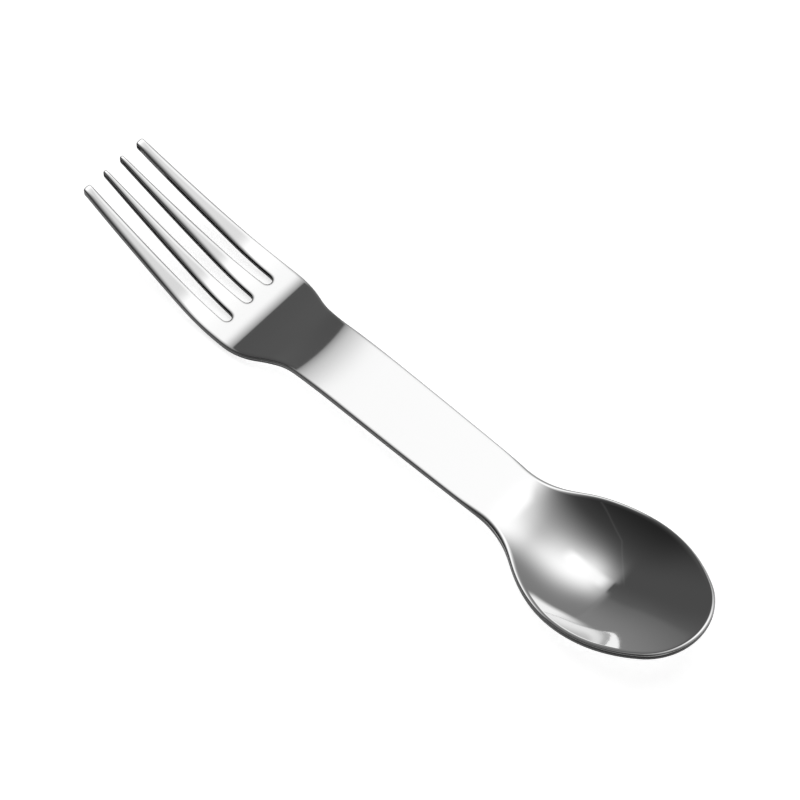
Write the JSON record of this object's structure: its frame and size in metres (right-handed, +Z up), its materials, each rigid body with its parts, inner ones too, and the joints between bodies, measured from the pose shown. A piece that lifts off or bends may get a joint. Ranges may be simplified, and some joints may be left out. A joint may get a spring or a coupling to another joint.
{
  "type": "spork",
  "caption": "Double-ended spork pressed from one strip of steel, with a tined fork at one end, an oval spoon bowl at the other and a flat strap handle between.",
  "frame": {"origin": "centre of the footprint of the bounding box, on the surface that the spork rests on", "axes": "+X along the length from the fork to the bowl, +Y across the width, +Z up out of the hollow of the bowl"},
  "size_m": [0.1714, 0.034, 0.0141],
  "materials": {
    "steel": "polished stainless steel with a fine satin grain"
  },
  "bodies": {
    "root": {"spork": "steel"}
  },
  "joints": []
}
